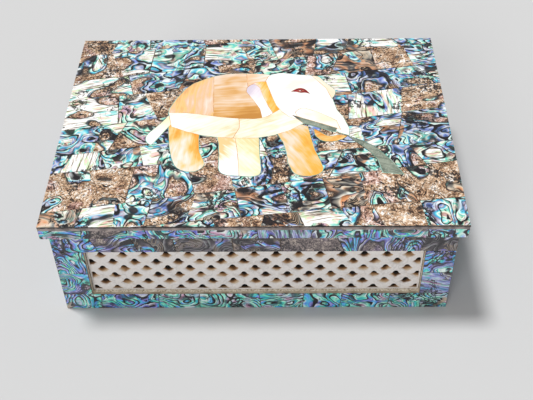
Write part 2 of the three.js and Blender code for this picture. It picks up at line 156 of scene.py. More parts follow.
# Abalone shell: thin layers of nacre, cut across, so that dark lines of horn follow the layers
# like the lines of a map and ring the knots of the shell, with blue, green and rose bands between
# them. Brown grain is the outer shell, pale streaks are layers cut lengthwise. It is ground flat
# and polished under a thin lacquer.
def abalone(name, look):
    material, tree = new_material(name)
    cut = add(tree, "ShaderNodeAttribute", attribute_name="cut").outputs["Vector"]
    place = add(tree, "ShaderNodeVectorMath", {0: cut, "Scale": 1 / (MM * look["scale"])}, operation="SCALE").outputs[0]
    kind = add(tree, "ShaderNodeAttribute", attribute_name="kind").outputs["Vector"]
    grain_share, streak_share, horn_share = add(tree, "ShaderNodeSeparateXYZ", {0: kind}).outputs
    shade = add(tree, "ShaderNodeAttribute", attribute_name="shade").outputs["Vector"]
    drift, warmth, _ = add(tree, "ShaderNodeSeparateXYZ", {0: shade}).outputs
    horn = linear(look["horn"])

    # Height of the layers: low at each knot, drawn out along the shell
    flowing = warped(tree, place, 22.0, 9.0)
    wavy = stretched(tree, warped(tree, flowing, 5.0, 2.0, 1.0), (1.8, 1.0, 1.0))
    knots = add(tree, "ShaderNodeTexVoronoi", {"Vector": wavy, "Scale": 1 / look["knot_size"], "Smoothness": 0.5},
                feature="SMOOTH_F1").outputs["Distance"]
    from_knot = calc(tree, "SUBTRACT", knots, 0.42)
    swell = noise(tree, wavy, look["swell_size"], 1.0, 0.3)
    field = calc(tree, "MULTIPLY_ADD", from_knot, look["knot_height"], swell)

    # Layers are steps of the height. Each has a line of horn, of its own width, that fades in places.
    level = calc(tree, "MULTIPLY", field, look["layers"])
    step = calc(tree, "FRACT", level)
    layer = calc(tree, "FLOOR", level)
    edge = calc(tree, "MULTIPLY", calc(tree, "ABSOLUTE", calc(tree, "SUBTRACT", step, 0.5)), 2.0)
    weight = add(tree, "ShaderNodeTexWhiteNoise", {"W": layer}, noise_dimensions="1D").outputs["Value"]
    thinnest, more = look["lines"]
    start = calc(tree, "MULTIPLY_ADD", weight, -more, thinnest)
    line = eased(tree, calc(tree, "SUBTRACT", edge, start), 0.0, 0.16)
    line = calc(tree, "MULTIPLY", line, eased(tree, noise(tree, flowing, 9.0, 1.0), 0.30, 0.46))
    fine = eased(tree, calc(tree, "SINE", calc(tree, "MULTIPLY", level, 7 * math.pi)), 0.2, 1.0)
    fine = calc(tree, "MULTIPLY", fine, eased(tree, noise(tree, flowing, 8.0), 0.50, 0.60, 0.0, 0.65))

    # Colour of each layer: it changes along the layer and from one to the next, with painted shade
    # towards its outer side and a painted near-white highlight towards its inner side
    apart = add(tree, "ShaderNodeCombineXYZ", {2: calc(tree, "MULTIPLY", layer, 4.6)}).outputs[0]
    along = add(tree, "ShaderNodeVectorMath", {0: flowing, 1: apart}, operation="ADD").outputs[0]
    hue = calc(tree, "MULTIPLY_ADD", from_knot, -0.22,
               calc(tree, "MULTIPLY_ADD", noise(tree, along, 8.0, 1.0), look["play"], 0.5 - 0.5 * look["play"]))
    hue = calc(tree, "MULTIPLY_ADD", calc(tree, "SUBTRACT", drift, 0.5), look["drift"], hue)
    nacre = add(tree, "ShaderNodeValToRGB", {0: hue}, look["nacre"]).outputs[0]
    brown_horn = add(tree, "ShaderNodeValToRGB", {0: hue}, look["horn_bands"]).outputs[0]
    horn_edge = calc(tree, "MULTIPLY_ADD", horn_share, 0.5, noise(tree, flowing, 11.0))
    colour = mixed(tree, eased(tree, horn_edge, 0.80, 0.86), nacre, brown_horn)
    # Painted highlight: near white just inside each dark line, patchy, and weaker on horn tiles
    painted_gleam = calc(tree, "MULTIPLY", eased(tree, step, 0.55, 0.10), eased(tree, noise(tree, wavy, 4.5, 1.0), 0.40, 0.56))
    painted_gleam = calc(tree, "MULTIPLY", painted_gleam, eased(tree, horn_edge, 0.80, 0.86, look["painted_gleam"], 0.25))
    colour = mixed(tree, painted_gleam, colour, linear("#F6FFFD"))
    # Painted shade: each layer darkens towards horn on its outer side, for a rounded look
    colour = mixed(tree, eased(tree, step, 0.5, 1.0, 0.0, look["painted_shading"]), colour, horn)
    colour = mixed(tree, eased(tree, noise(tree, along, 7.0), 0.37, 0.29, 0.0, look["ink"]), colour, horn)

    # Tiles cut along the layers show pale streaks with tints of green and rose
    run = stretched(tree, warped(tree, place, 24.0, 5.0), (16.0, 1.0, 2.5))
    pale = add(tree, "ShaderNodeValToRGB", {0: noise(tree, run, 1.0, 3.0, 0.72)}, look["streaks"]).outputs[0]
    tinted = noise(tree, stretched(tree, flowing, (2.8, 1.0, 1.0)), 3.2, 1.0)
    tint = add(tree, "ShaderNodeValToRGB", {0: tinted}, look["tints"]).outputs[0]
    pale = mixed(tree, 1.0, pale, tint, "MULTIPLY")
    streak_edge = calc(tree, "SUBTRACT", calc(tree, "MULTIPLY", streak_share, 0.5), field)
    streaked = eased(tree, streak_edge, -0.17, -0.14)
    colour = mixed(tree, streaked, colour, pale)

    # Brown grain where the height is great, so that the layers ring it
    curled = warped(tree, place, 2.8, 2.6)
    patch = calc(tree, "SUBTRACT", noise(tree, flowing, 6.0, 1.0), 0.5)
    grit = calc(tree, "MULTIPLY_ADD", patch, 0.5, noise(tree, curled, 1.2, 3.0, 0.7))
    brown = add(tree, "ShaderNodeValToRGB", {0: grit}, look["grain"]).outputs[0]
    loops = calc(tree, "FRACT", calc(tree, "MULTIPLY", noise(tree, curled, 2.4, 1.0), 6.0))
    loops = eased(tree, calc(tree, "ABSOLUTE", calc(tree, "SUBTRACT", loops, 0.5)), 0.33, 0.45)
    loops = calc(tree, "MULTIPLY", loops, eased(tree, noise(tree, place, 4.0, 1.0), 0.36, 0.54, 0.2, 0.95))
    brown = mixed(tree, loops, brown, linear(look["grain_line"]))
    lilac = calc(tree, "ADD", noise(tree, flowing, 9.0, 1.0), calc(tree, "MULTIPLY", warmth, 0.3))
    brown = mixed(tree, eased(tree, lilac, 0.66, 0.84, 0.0, 0.6), brown, linear(look["grain_tint"]), "SOFT_LIGHT")
    grain_edge = calc(tree, "MULTIPLY_ADD", grain_share, 0.5, field)
    grain = eased(tree, grain_edge, 0.83, 0.85)
    colour = mixed(tree, grain, colour, brown)
    rim = calc(tree, "MULTIPLY", eased(tree, grain_edge, 0.805, 0.83), eased(tree, grain_edge, 0.87, 0.85))
    rings = calc(tree, "MULTIPLY", eased(tree, edge, 0.72, 0.95), eased(tree, noise(tree, place, 5.0, 2.0), 0.44, 0.58))
    rings = calc(tree, "MULTIPLY", rings, calc(tree, "MULTIPLY_ADD", streaked, -0.7, 1.0))

    lines = calc(tree, "MULTIPLY", line, calc(tree, "SUBTRACT", 1.0, calc(tree, "MAXIMUM", grain, streaked)))
    lines = calc(tree, "MAXIMUM", lines, calc(tree, "MULTIPLY", rings, calc(tree, "MAXIMUM", grain, streaked)))
    colour = mixed(tree, calc(tree, "MAXIMUM", lines, calc(tree, "MULTIPLY", rim, 0.85)), colour, horn)
    fine_colour = mixed(tree, eased(tree, horn_edge, 0.80, 0.86), horn, linear(look["horn_line"]))
    colour = mixed(tree, calc(tree, "MULTIPLY", fine, calc(tree, "SUBTRACT", 1.0, streaked)), colour, fine_colour)
    specks = calc(tree, "ADD", noise(tree, place, 1.7, 2.0, 0.7), eased(tree, noise(tree, place, 13.0), 0.52, 0.70, 0.0, 0.22))
    colour = mixed(tree, eased(tree, specks, 0.70, 0.73, 0.0, 0.9), colour, horn)
    bump = add(tree, "ShaderNodeBump", {"Strength": 0.2, "Distance": 0.05 * MM, "Height": edge}).outputs[0]
    finish_material(tree, Base_Color=colour, Roughness=0.24, IOR=1.53, Coat_Weight=0.35, Coat_Roughness=0.06,
                    Normal=bump)
    return material


# Mother-of-pearl, sawn and polished: soft clouds with faint growth lines. Its stops run from the
# palest to the deepest colour, and fall says how much deeper it is towards the right and the back.
def pearl(node, name, stops, turn=0.0, fall=(0.0, 0.0), size=10.0, growth=0.35):
    material, tree = new_material(f"{name}_mother_of_pearl")
    place = object_millimetres(tree)
    low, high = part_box(node)
    middle, half = (low + high) / 2 / MM, (high - low) / 2 / MM
    from_middle = add(tree, "ShaderNodeVectorMath", {0: place, 1: middle}, operation="SUBTRACT").outputs[0]
    across, upright, _ = add(tree, "ShaderNodeSeparateXYZ", {0: from_middle}).outputs
    cloud = noise(tree, stretched(tree, warped(tree, place, 9.0, 6.0), (2.2, 1.0, 1.0), turn), size, 2.0, 0.55)
    lines = noise(tree, stretched(tree, warped(tree, place, 16.0, 3.0), (22.0, 1.0, 1.0), turn), 1.4, 2.0, 0.6)
    tone = calc(tree, "MULTIPLY_ADD", cloud, 1.7, -0.35)
    tone = calc(tree, "MULTIPLY_ADD", calc(tree, "SUBTRACT", lines, 0.5), growth * 2, tone)
    tone = calc(tree, "MULTIPLY_ADD", across, fall[0] / half.x, tone)
    tone = calc(tree, "MULTIPLY_ADD", upright, fall[1] / half.y, tone)
    spaced = [(number / (len(stops) - 1), colour) for number, colour in enumerate(stops)]
    colour = add(tree, "ShaderNodeValToRGB", {0: tone}, spaced).outputs[0]
    finish_material(tree, Base_Color=colour, Roughness=0.2, IOR=1.53, Coat_Weight=0.5, Coat_Roughness=0.05)
    return material


# White marble, sawn and polished: close grain with a few soft grey veins
def marble_colour(tree, place, white, vein):
    cloud = noise(tree, warped(tree, place, 15.0, 10.0), 22.0, 4.0, 0.6)
    from_vein = calc(tree, "ABSOLUTE", calc(tree, "SUBTRACT", cloud, 0.5))
    colour = mixed(tree, eased(tree, from_vein, 0.02, 0.0, 0.0, 0.35), linear(white), linear(vein))
    crystal = noise(tree, place, 0.8, 2.0)
    return mixed(tree, eased(tree, crystal, 0.42, 0.62, 0.0, 0.14), colour, linear(vein))


# Sills and reveals of the windows are left as sawn, and dusty
def white_marble(name, window_from):
    material, tree = new_material(name)
    place = object_millimetres(tree)
    colour = marble_colour(tree, place, "#E8E3DA", "#B7B2AC")
    out = calc(tree, "ABSOLUTE", add(tree, "ShaderNodeSeparateXYZ", {0: place}).outputs[1])
    sawn = eased(tree, out, window_from, window_from + 0.5)
    dust = add(tree, "ShaderNodeValToRGB", {0: noise(tree, place, 1.0, 3.0, 0.7)},
               [(0.34, "#8E7C66"), (0.42, "#CABBA2"), (0.52, "#EADFCB"), (0.66, "#FBF6EA")]).outputs[0]
    colour = mixed(tree, sawn, colour, dust)
    finish_material(tree, Base_Color=colour, Roughness=0.38, IOR=1.5, Coat_Weight=0.15, Coat_Roughness=0.15)
    return material


# The lattice is the same marble. Its piercings keep tan polishing paste and dust on their walls,
# and deeper in the walls carry painted shade, darkening to near black the deeper they go.
def pierced_marble(name, face):
    material, tree = new_material(name)
    place = object_millimetres(tree)
    colour = marble_colour(tree, place, "#E6E1DE", "#B8B2AD")
    across = add(tree, "ShaderNodeSeparateXYZ", {0: place}).outputs[1]
    depth = calc(tree, "SUBTRACT", face / MM, calc(tree, "ABSOLUTE", across))
    patchiness = eased(tree, noise(tree, place, 7.0, 1.0), 0.35, 0.65, -0.45, 0.45)
    # Hole walls: tan paste and dust near the face, then painted shade from dark brown to near black deeper in
    wall_paste_and_shade = add(tree, "ShaderNodeValToRGB", {0: calc(tree, "MULTIPLY", calc(tree, "ADD", depth, patchiness), 0.25)},
               [(0.05, "#CFB99E"), (0.17, "#A9835C"), (0.29, "#6C4A2A"), (0.40, "#25170C"), (0.50, "#080503")]
               ).outputs[0]
    ragged = calc(tree, "ADD", depth, eased(tree, noise(tree, place, 3.0, 3.0), 0.3, 0.7, -0.2, 0.2))
    pierced = eased(tree, ragged, 0.02, 0.7)
    colour = mixed(tree, pierced, colour, wall_paste_and_shade)
    dull = calc(tree, "MULTIPLY_ADD", pierced, 0.5, 0.45)
    finish_material(tree, Base_Color=colour, Roughness=dull, IOR=1.5)
    return material


# Soft green-grey stone, rubbed matt, with fine specks
def green_stone(name, dark_until):
    material, tree = new_material(name)
    place = object_millimetres(tree)
    across = add(tree, "ShaderNodeSeparateXYZ", {0: place}).outputs[0]
    cloud = noise(tree, place, 9.0, 4.0, 0.65)
    colour = mixed(tree, eased(tree, cloud, 0.36, 0.62), linear("#5F6B5E"), linear("#939C8C"))
    speck = noise(tree, place, 0.8, 2.0)
    colour = mixed(tree, eased(tree, speck, 0.56, 0.68, 0.0, 0.5), colour, linear("#BFC6B4"))
    streak = noise(tree, stretched(tree, place, (9.0, 1.0, 1.0), -0.35), 1.3, 2.0)
    colour = mixed(tree, eased(tree, streak, 0.5, 0.34, 0.0, 0.55), colour, linear("#4E5A50"))
    colour = mixed(tree, eased(tree, across, dark_until, dark_until - 3.0, 0.0, 0.75), colour, linear("#2E3434"))
    finish_material(tree, Base_Color=colour, Roughness=0.34, IOR=1.55, Coat_Weight=0.3, Coat_Roughness=0.1)
    return material


# Carnelian, polished: deep red with a darker middle
def red_stone(name):
    material, tree = new_material(name)
    cloud = noise(tree, object_millimetres(tree), 3.0, 2.0)
    colour = mixed(tree, eased(tree, cloud, 0.4, 0.6), linear("#7E0F1A"), linear("#B4222B"))
    finish_material(tree, Base_Color=colour, Roughness=0.2, IOR=1.54, Coat_Weight=0.4, Coat_Roughness=0.06)
    return material


# The eye's ball: pale in the middle, in the same carnelian
def eye_ball(node):
    material, tree = new_material("pale_pupil_in_carnelian")
    low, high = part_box(node)
    middle, half = (low + high) / 2 / MM, (high - low) / 2 / MM
    place = object_millimetres(tree)
    from_middle = add(tree, "ShaderNodeVectorMath", {0: place, 1: middle}, operation="SUBTRACT").outputs[0]
    from_middle = add(tree, "ShaderNodeVectorMath", {0: from_middle, 1: (1 / half.x, 1 / half.y, 0.0)},
                      operation="MULTIPLY").outputs[0]
    radius = add(tree, "ShaderNodeVectorMath", {0: from_middle}, operation="LENGTH").outputs["Value"]
    pale = mixed(tree, eased(tree, noise(tree, place, 0.8), 0.42, 0.55), linear("#6E5A58"), linear("#F4ECE4"))
    colour = mixed(tree, eased(tree, radius, 0.42, 0.58), pale, linear("#A01820"))
    finish_material(tree, Base_Color=colour, Roughness=0.2, IOR=1.54, Coat_Weight=0.4, Coat_Roughness=0.06)
    return material


# Filler in the joints: tinted resin, rubbed down with the shell
def joint_resin(name, light, dark):
    material, tree = new_material(name)
    cloud = noise(tree, object_millimetres(tree), 6.0, 4.0)
    colour = mixed(tree, eased(tree, cloud, 0.38, 0.62), linear(dark), linear(light))
    finish_material(tree, Base_Color=colour, Roughness=0.5, IOR=1.5)
    return material


# The lid mosaic's own edge: grey filler, darker to near black in a band along its top arris
def mosaic_edge(name, top):
    material, tree = new_material(name)
    place = object_millimetres(tree)
    height = add(tree, "ShaderNodeSeparateXYZ", {0: place}).outputs[2]
    below = calc(tree, "SUBTRACT", top / MM, height)
    below = calc(tree, "ADD", below, eased(tree, noise(tree, place, 2.0, 2.0), 0.3, 0.7, -0.15, 0.15))
    grey = mixed(tree, eased(tree, noise(tree, place, 5.0, 4.0), 0.38, 0.62), linear("#7A706E"), linear("#A89C98"))
    colour = mixed(tree, eased(tree, below, 0.75, 1.15), linear("#150F0E"), grey)
    finish_material(tree, Base_Color=colour, Roughness=0.5, IOR=1.5)
    return material


def set_material(node, material):
    """Gives a CAD node's object a material on its own slots."""
    for material_slot in nodes[node].material_slots:
        material_slot.material = material
    if not nodes[node].material_slots:
        nodes[node].data.materials.append(material)


def new_piece(name, mesh, slot, *replaced):
    """Links a finished mesh as a piece that stands for CAD nodes."""
    piece = bpy.data.objects.new(name, mesh)
    bpy.context.collection.objects.link(piece)
    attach(piece, BODY)
    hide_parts(*replaced)
    return piece


class ShellSettings(bpy.types.PropertyGroup):
    rounding: bpy.props.FloatProperty(
        name="Edge rounding", description="How far a tile's edge is rubbed down", default=0.12 * MM,
        unit="LENGTH", subtype="DISTANCE")
    turn: bpy.props.FloatProperty(
        name="Turn", description="Most that a tile's layers turn from its course", default=math.radians(14),
        unit="ROTATION", subtype="ANGLE")
    slope: bpy.props.FloatProperty(
        name="Slope", description="Rise of the lid's courses to the right", default=math.radians(8),
        unit="ROTATION", subtype="ANGLE")
    glue_depth: bpy.props.FloatProperty(
        name="Glue depth", description="From the inlay's surface down to the glue in its joints", default=0.1 * MM,
        unit="LENGTH")
    longest: bpy.props.FloatProperty(
        name="Longest tile", description="A longer tile is cut crosswise", default=36 * MM, unit="LENGTH")
    lean: bpy.props.FloatProperty(
        name="Lean", description="How much greener the sides are at the bottom than at the top", default=0.85)
    bright_share: bpy.props.FloatProperty(
        name="Bright share", description="Share of a side's height, from its foot, that is mostly bright nacre",
        default=0.65, min=0.0, max=0.95)
    strip: bpy.props.FloatProperty(
        name="Grey strip", description="Filler above the tiles of the lid's edges", default=1.4 * MM, unit="LENGTH")
    crosswise: bpy.props.FloatProperty(
        name="Crosswise", description="Share of tiles whose layers run across the course", default=0.15,
        min=0.0, max=1.0)


class LatticeSettings(bpy.types.PropertyGroup):
    pitch: bpy.props.FloatProperty(
        name="Hole pitch", description="Between two holes of a row", default=10.86 * MM, unit="LENGTH")
    row_pitch: bpy.props.FloatProperty(
        name="Row pitch", description="Between two rows", default=4.95 * MM, unit="LENGTH")
    wing: bpy.props.FloatProperty(
        name="Wing", description="From a hole's middle to its left and right tips", default=3.6 * MM, unit="LENGTH")
    waist: bpy.props.FloatProperty(
        name="Waist", description="Half the width of a hole between its wings", default=1.75 * MM, unit="LENGTH")
    dome: bpy.props.FloatProperty(
        name="Dome", description="From a hole's middle to its top", default=2.8 * MM, unit="LENGTH")
    toe: bpy.props.FloatProperty(
        name="Toe", description="From a hole's middle to its bottom", default=2.6 * MM, unit="LENGTH")
    rise: bpy.props.FloatProperty(
        name="Rise", description="From a hole's middle up to the middle of its drilled part", default=1.15 * MM,
        unit="LENGTH")
    drill: bpy.props.FloatProperty(
        name="Drill radius", description="Radius of the drilled middle", default=1.5 * MM, unit="LENGTH")
    funnel: bpy.props.FloatProperty(
        name="Funnel depth", description="How deep the carved mouth runs in", default=1.7 * MM, unit="LENGTH")
    fullness: bpy.props.FloatProperty(
        name="Wing fullness", description="Above the wings: 1 for straight edges, less for hollow ones", default=0.8,
        min=0.4, max=2.0)
    lower_fullness: bpy.props.FloatProperty(
        name="Lower fullness", description="The same below the wings", default=1.35, min=0.4, max=2.0)


class StageSettings(bpy.types.PropertyGroup):
    floor: bpy.props.FloatVectorProperty(
        name="Floor", description="Colour of the floor", default=linear("#C6C6C6")[:3], subtype="COLOR")
    key: bpy.props.FloatProperty(
        name="Key light", description="Strength of the high light from the left and the back", default=2.5)
    fill: bpy.props.FloatProperty(
        name="Fill light", description="Strength of the low light from the front", default=1.04)
    sky: bpy.props.FloatProperty(name="Sky", description="Strength of the even light", default=0.33)


def flat_mesh(node):
    """A merged copy of a CAD node's mesh with its flat faces whole again."""
    mesh = bmesh.new()
    mesh.from_mesh(nodes[node].data)
    bmesh.ops.remove_doubles(mesh, verts=mesh.verts, dist=0.001 * MM)
    bmesh.ops.dissolve_limit(mesh, angle_limit=math.radians(0.3), verts=mesh.verts, edges=mesh.edges)
    return mesh


def face_groups(faces):
    """Groups of faces that share edges."""
    left = set(faces)
    groups = []
    for face in faces:
        if face not in left:
            continue
        left.discard(face)
        group, open_faces = [], [face]
        while open_faces:
            current = open_faces.pop()
            group.append(current)
            for edge in current.edges:
                for other in edge.link_faces:
                    if other in left:
                        left.discard(other)
                        open_faces.append(other)
        groups.append(group)
    return groups


def split_tile(mesh, faces, course, across, longest, draw):
    """Cuts a tile crosswise, at a slant, until no piece is longer than it may be."""
    along = [vert.co.dot(course) for face in faces for vert in face.verts]
    length = max(along) - min(along)
    if length < longest:
        return [faces]
    point = course * (min(along) + length * draw.uniform(0.4, 0.6))
    point = point + across * faces[0].calc_center_median().dot(across)
    normal = course + across * math.tan(draw.uniform(-0.5, 0.5))
    parts = {item for face in faces for item in (face, *face.edges, *face.verts)}
    cut = bmesh.ops.bisect_plane(mesh, geom=list(parts), plane_co=point, plane_no=normal, dist=0.001 * MM)
    pieces = [item for item in cut["geom"] if isinstance(item, bmesh.types.BMFace)]
    sides = [[], []]
    for face in pieces:
        sides[int((face.calc_center_median() - point).dot(normal) > 0)].append(face)
    if not all(sides):
        return [faces]
    return [part for half in sides for part in split_tile(mesh, half, course, across, longest, draw)]


def drawn_kind(draw, look, rise):
    """How much of a tile is grain, pale streaks and horn. Most tiles are mainly one of them, or nacre.
    What is drawn changes from the foot, where rise is 0, to the top, where it is 1."""
    shares = [low + (high - low) * rise for low, high in zip(look["low_shares"], look["shares"])]
    low_most, high_most = look["most_mixed"]
    most = low_most + (high_most - low_most) * rise
    amounts = [draw.uniform(0.05, most) for _ in shares]
    pick = draw.random()
    for number, share in enumerate(shares):
        if 0 <= pick < share:
            amounts[number] = draw.uniform(0.65, 1.05)
        pick -= share
    return Vector(amounts)


def bed_inlay(mesh, outward, top, settings):
    """Fills the inlay's pocket with glue to just under the surface. Gives the glue inside and at its outline."""
    deep = top - 0.6 * MM
    floor = [face for face in mesh.faces
             if face.normal.dot(outward) > 0.999 and top - 1.0 * MM < face.calc_center_median().dot(outward) < deep]
    if not floor:
        return [], []
    for vert in {vert for face in floor for vert in face.verts}:
        vert.co += outward * (top - settings.glue_depth - vert.co.dot(outward))
    outline = bmesh.ops.inset_region(mesh, faces=floor, thickness=0.55 * MM, use_even_offset=True)["faces"]
    inside = [face for face in floor if face.is_valid and face not in outline]
    return inside, outline


def tile_mesh(node, outward, settings, look):
    """The facing's tiles with rubbed edges. Each tile carries its own place in a block of shell."""
    mesh = flat_mesh(node)
    cut = mesh.loops.layers.float_vector.new("cut")
    kind = mesh.faces.layers.float_vector.new("kind")
    shade = mesh.faces.layers.float_vector.new("shade")
    top = max(vert.co.dot(outward) for vert in mesh.verts)
    foot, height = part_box(node)[0].z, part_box(node)[1].z

    def on_top(face):
        return face.normal.dot(outward) > 0.999 and face.calc_center_median().dot(outward) > top - 0.01 * MM

    rim = [edge for edge in mesh.edges if sum(on_top(face) for face in edge.link_faces) == 1]
    bmesh.ops.bevel(mesh, geom=rim, offset=settings.rounding, offset_type="OFFSET", segments=1, profile=0.5,
                    affect="EDGES")
    bmesh.ops.recalc_face_normals(mesh, faces=mesh.faces)
    up = Vector((0, 1, 0)) if outward.z else Vector((0, 0, 1))
    side = up.cross(outward)
    slope = settings.slope if outward.z else 0.0
    course = side * math.cos(slope) + up * math.sin(slope)
    across = outward.cross(course)
    glue = bed_inlay(mesh, outward, top, settings)
    strip_from = height - settings.strip
    if node.startswith("lid") and not outward.z:
        bmesh.ops.bisect_plane(mesh, geom=[*mesh.faces, *mesh.edges, *mesh.verts], plane_co=(0, 0, strip_from),
                               plane_no=(0, 0, 1), dist=0.001 * MM)
    groups = []
    for group in face_groups([face for face in mesh.faces if on_top(face)]):
        centre = group[0].calc_center_median()
        draw = random.Random(f"{node} {round(centre.dot(side) / MM)} {round(centre.dot(up) / MM)}")
        groups += split_tile(mesh, group, course, across, settings.longest, draw)
    tile_of = {face: number for number, group in enumerate(groups) for face in group}
    joint_floor = top - 0.25 * MM
    for _ in range(2):
        for face in [face for face in mesh.faces if face not in tile_of]:
            beside = {tile_of[other] for edge in face.edges for other in edge.link_faces if other in tile_of}
            if beside and face.calc_center_median().dot(outward) > joint_floor:
                tile_of[face] = min(beside)

    for number, group in enumerate(groups):
        area = sum(face.calc_area() for face in group)
        centre = sum((face.calc_center_median() * face.calc_area() for face in group), Vector()) / area
        draw = random.Random(f"{node} {round(centre.dot(side) / MM)} {round(centre.dot(up) / MM)}")
        turn = draw.uniform(-settings.turn, settings.turn) - slope
        if draw.random() < settings.crosswise:
            turn += math.pi / 2
        place = Vector([draw.uniform(-100, 100) * MM for _ in range(3)])
        rise = (centre.z - foot) / (height - foot)
        above_bright = max(0.0, (rise - settings.bright_share) / (1 - settings.bright_share))
        amounts = drawn_kind(draw, look, above_bright)
        tone = Vector([draw.random() for _ in range(3)])
        if not node.startswith("lid"):
            tone.x += settings.lean * (0.28 - rise)
        for face in [face for face in tile_of if tile_of[face] == number]:
            face[kind] = amounts
            face[shade] = tone
            for loop in face.loops:
                away = loop.vert.co - centre
                x, y = away.dot(side), away.dot(up)
                turned = (x * math.cos(turn) - y * math.sin(turn), x * math.sin(turn) + y * math.cos(turn))
                loop[cut] = place + Vector((*turned, away.dot(outward)))
    for face in mesh.faces:
        on_bed = face not in tile_of
        outside = on_bed and abs(face.normal.dot(outward)) < 0.5 and face.calc_area() > 20 * MM * MM
        face.material_index = 2 if outside else int(on_bed)
        if node.startswith("lid") and not outward.z and face.calc_center_median().z > strip_from:
            face.material_index = 2
    for number, faces in enumerate(glue):
        for face in faces:
            face.material_index = 3 + number
    result = bpy.data.meshes.new(f"{node}_tiles")
    mesh.to_mesh(result)
    mesh.free()
    return result


# Two cuts of shell: a bright, contrasting one on the lid, and a deeper, bluer one on the sides.
# Shares are those of tiles that are mainly grain, streaks and horn; the rest are nacre.
LID_SHELL = {
    "scale": 1.0, "knot_size": 14.0, "knot_height": 0.42, "swell_size": 11.0,
    "layers": 10.0, "lines": (0.84, 0.36), "play": 1.05, "drift": 0.20,
    "painted_gleam": 0.9, "painted_shading": 0.55, "ink": 0.95, "horn": "#120D14",
    "shares": (0.30, 0.22, 0.15), "low_shares": (0.30, 0.22, 0.15), "most_mixed": (0.45, 0.45),
    "nacre": [
        (0.20, "#142630"), (0.27, "#37587E"), (0.32, "#7A8EDA"), (0.37, "#C6D4E2"), (0.41, "#A890A8"),
        (0.45, "#3E9CCC"), (0.49, "#66DAE8"), (0.53, "#F2F9EC"), (0.57, "#44C6BC"), (0.61, "#AEEBCB"),
        (0.65, "#F6F0E0"), (0.70, "#B98F78"), (0.76, "#D2B2CC"), (0.82, "#7C6070")],
    "horn_bands": [
        (0.26, "#1E1A1A"), (0.34, "#4C3D36"), (0.40, "#7C5A46"), (0.46, "#B27C5A"), (0.51, "#D4A07A"),
        (0.56, "#665F5A"), (0.61, "#4A474A"), (0.67, "#A39C8E"), (0.73, "#E2CDB4"), (0.79, "#DE9460")],
    "horn_line": "#D8BC9C",
    "grain": [(0.30, "#3A261C"), (0.39, "#8A6850"), (0.47, "#C09874"), (0.54, "#DEBE9E"), (0.61, "#F8E8D6"),
              (0.70, "#FFFFFF")],
    "grain_line": "#2A1A10", "grain_tint": "#CFC2F0",
    "streaks": [(0.35, "#2C221E"), (0.40, "#9A8470"), (0.45, "#EDE4D8"), (0.51, "#FFFFFF"), (0.66, "#FFFFFF"),
                (0.74, "#BCDCD6")],
    "tints": [(0.33, "#98E6E4"), (0.40, "#FFFFFF"), (0.57, "#FFFFFF"), (0.63, "#D2F2C4"), (0.70, "#FFD6D0")],
}
SIDE_SHELL = {
    "scale": 0.85, "knot_size": 15.0, "knot_height": 0.55, "swell_size": 15.0,
    "layers": 17.0, "lines": (0.77, 0.28), "play": 0.85, "drift": 0.34,
    "painted_gleam": 0.85, "painted_shading": 0.35, "ink": 0.7, "horn": "#17121C",
    "shares": (0.42, 0.14, 0.42), "low_shares": (0.0, 0.22, 0.0), "most_mixed": (0.12, 0.55),
    "nacre": [
        (0.18, "#3E3A44"), (0.26, "#7E767E"), (0.32, "#9890A8"), (0.37, "#6A6AC0"), (0.42, "#A29EE6"),
        (0.46, "#5592F2"), (0.50, "#66CCF6"), (0.54, "#35B2C6"), (0.58, "#62E6CC"), (0.63, "#AAF4DC"),
        (0.68, "#5FA6B0"), (0.73, "#BCCCE2"), (0.80, "#CFA0BE")],
    "horn_bands": [
        (0.26, "#231F26"), (0.38, "#4A444C"), (0.46, "#6E6670"), (0.54, "#55545C"), (0.62, "#94877F"),
        (0.72, "#C0B09C")],
    "horn_line": "#B7A189",
    "grain": [(0.30, "#3A3134"), (0.41, "#6B5F60"), (0.51, "#887A79"), (0.61, "#AD9E97"), (0.72, "#DFD0C0")],
    "grain_line": "#2A2224", "grain_tint": "#9C98E0",
    "streaks": [(0.30, "#1B1820"), (0.40, "#56546E"), (0.48, "#A3A1CE"), (0.60, "#D2E0F2"), (0.70, "#8FD9CF")],
    "tints": [(0.34, "#8FD6E8"), (0.44, "#D0CCF4"), (0.54, "#FFFFFF"), (0.61, "#A8F0C0"), (0.70, "#F0B8C8")],
}
EDGE_SHELL = {
    **SIDE_SHELL, "painted_gleam": 1.0, "play": 1.2, "painted_shading": 0.25, "ink": 0.9,
    "shares": (0.0, 0.10, 0.12), "low_shares": (0.0, 0.10, 0.12), "most_mixed": (0.08, 0.08),
    "nacre": [
        (0.18, "#2C2A3A"), (0.26, "#625E7C"), (0.32, "#8E88B4"), (0.37, "#5C5CC8"), (0.42, "#A6A2F0"),
        (0.46, "#4A8CF6"), (0.50, "#66D6FA"), (0.54, "#2CB6CC"), (0.58, "#6CF4D6"), (0.63, "#BCFAE6"),
        (0.68, "#5FA6B0"), (0.73, "#C8D8EC"), (0.80, "#D8A6C6")]}


